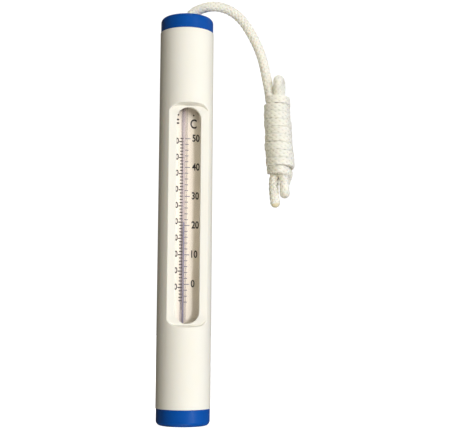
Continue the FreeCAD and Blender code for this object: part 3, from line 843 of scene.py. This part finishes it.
def add_thread():
    """The spirit column, fine enough along its length to stretch as the reading moves."""
    low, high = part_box("spirit_thread")
    middle = (low + high) / 2
    radius = (high.x - low.x) / 2
    vertices = []
    for ring in range(THREAD_RINGS):
        z = low.z + (high.z - low.z) * ring / (THREAD_RINGS - 1)
        for side in range(THREAD_SIDES):
            angle = 2 * math.pi * side / THREAD_SIDES
            vertices.append((middle.x + radius * math.cos(angle), middle.y + radius * math.sin(angle), z))
    faces = [tuple(range(THREAD_SIDES))[::-1]]
    for ring in range(THREAD_RINGS - 1):
        for side in range(THREAD_SIDES):
            a = ring * THREAD_SIDES + side
            b = ring * THREAD_SIDES + (side + 1) % THREAD_SIDES
            faces.append((a, b, b + THREAD_SIDES, a + THREAD_SIDES))
    faces.append(tuple(range((THREAD_RINGS - 1) * THREAD_SIDES, THREAD_RINGS * THREAD_SIDES)))
    mesh = bpy.data.meshes.new("spirit_column")
    mesh.from_pydata(vertices, [], faces)
    mesh.polygons.foreach_set("use_smooth", [len(face) == 4 for face in faces])
    mesh.materials.append(SPIRIT)
    piece = add_object("spirit_column", mesh)
    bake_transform(piece)
    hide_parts("spirit_thread")


add_thread()


# ---- studio ----------------------------------------------------------------------------------

# Name, direction round from the camera's, rise, strength, colour, spread, and whether glossy surfaces show
# it. The angles are in degrees.
SUNS = (
    ("left_key", -5, 10, 0.32, (1.0, 1.0, 0.88), 12, False),
    ("key", 22, 6, 0.88, (1.0, 0.97, 0.95), 12, False),
    ("right_key", 44, 6, 1.24, (0.92, 0.95, 1.0), 12, False),
    ("right_fill", 70, 8, 0.3, (0.8, 0.88, 1.0), 20, False),
    ("top", 20, 64, 0.75, (1.0, 0.99, 0.97), 20, False),
    ("bounce", 12, -64, 1.05, (1.0, 0.97, 0.92), 25, False),
    ("highlight", 42, 2, 0.36, (0.85, 1.0, 1.0), 5, True),
    ("back", -163, 28, 1.6, (1.0, 0.99, 0.96), 20, False),
    ("back_top", 150, 58, 0.7, (1.0, 0.99, 0.97), 30, False),
    ("window_key", 17, -3, 1.15, (1.0, 0.97, 0.98), 8, False),
    ("window_fill", 4, -2, 0.56, (1.0, 0.84, 0.5), 100, False),
    ("cord_fill", -48, 4, 0.45, (1.0, 0.96, 0.66), 30, False),
)
SUN_AIM = Vector((0, 0, 0.1))
SUN_DISTANCE = 2
CAP_NODES = ("top_cap", "bottom_cap")
WINDOW_NODES = ("scale_plate", "capillary_tube", "lower_stem_clip", "upper_stem_clip", "lower_scale_holder",
                "upper_scale_holder")
FLOOR_HALF = 3.0
FLOOR_GLOW = 0.93
WORLD_SEEN = ((1, 1, 1, 1), 1.1)
WORLD_LIT = ((1.0, 0.88, 0.7, 1), 0.09)
SEE_THROUGH_LAYERS = 24


def add_sun(name, azimuth, rise, strength, colour, spread, shines):
    data = bpy.data.lights.new(name, "SUN")
    data.energy = strength
    data.color = colour
    data.angle = math.radians(spread)
    light = add_object(name, data)
    turn = CAMERA_AZIMUTH + math.radians(azimuth)
    reach = Vector((math.sin(turn), -math.cos(turn), math.tan(math.radians(rise)))) * SUN_DISTANCE
    light.location = SUN_AIM + reach
    light.rotation_euler = (SUN_AIM - light.location).to_track_quat("-Z", "Y").to_euler()
    light.visible_glossy = shines
    return light


def add_floor():
    """A plain pale sheet that throws no light or shadow on the object."""
    mesh = bpy.data.meshes.new("floor")
    corners = [(x * FLOOR_HALF, y * FLOOR_HALF, 0) for x, y in ((-1, -1), (1, -1), (1, 1), (-1, 1))]
    mesh.from_pydata(corners, [], [(0, 1, 2, 3)])
    floor = add_object("floor", mesh)
    paint = Paint("floor_paper")
    grain = paint.noise(900.0, 3.0)
    paper = paint.surface(
        Base_Color=paint.blend(grain, (0.8, 0.8, 0.8, 1), (0.82, 0.82, 0.82, 1)),
        Roughness=0.9,
        Emission_Color=(1, 1, 1, 1),
        Emission_Strength=FLOOR_GLOW,
    )
    mesh.materials.append(paper)
    floor.visible_diffuse = False
    floor.visible_glossy = False
    floor.visible_shadow = False


def add_world():
    """White to look at, and a dimmer, even light on the object."""
    world = bpy.data.worlds.new("studio")
    world.use_nodes = True
    nodes = world.node_tree.nodes
    links = world.node_tree.links
    nodes.clear()
    path = nodes.new("ShaderNodeLightPath")
    mix = nodes.new("ShaderNodeMixShader")
    links.new(path.outputs["Is Camera Ray"], mix.inputs[0])
    for socket, (colour, strength) in ((1, WORLD_LIT), (2, WORLD_SEEN)):
        background = nodes.new("ShaderNodeBackground")
        background.inputs["Color"].default_value = colour
        background.inputs["Strength"].default_value = strength
        links.new(background.outputs[0], mix.inputs[socket])
    output = nodes.new("ShaderNodeOutputWorld")
    links.new(mix.outputs[0], output.inputs["Surface"])
    bpy.context.scene.world = world


def light_only(light, pieces):
    lit = bpy.data.collections.new(light.name + "_lit")
    for piece in pieces:
        lit.objects.link(piece)
    light.light_linking.receiver_collection = lit


def add_studio():
    scene = bpy.context.scene
    scene.view_settings.view_transform = "Standard"
    scene.cycles.transparent_max_bounces = SEE_THROUGH_LAYERS
    add_floor()
    add_world()
    lights = {sun[0]: add_sun(*sun) for sun in SUNS}
    behind_window = [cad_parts[node] for node in WINDOW_NODES] + PRINTED
    light_only(lights["highlight"], [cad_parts[node] for node in CAP_NODES])
    light_only(lights["window_key"], behind_window)
    light_only(lights["window_fill"], behind_window)
    light_only(lights["cord_fill"], [tether])


add_studio()
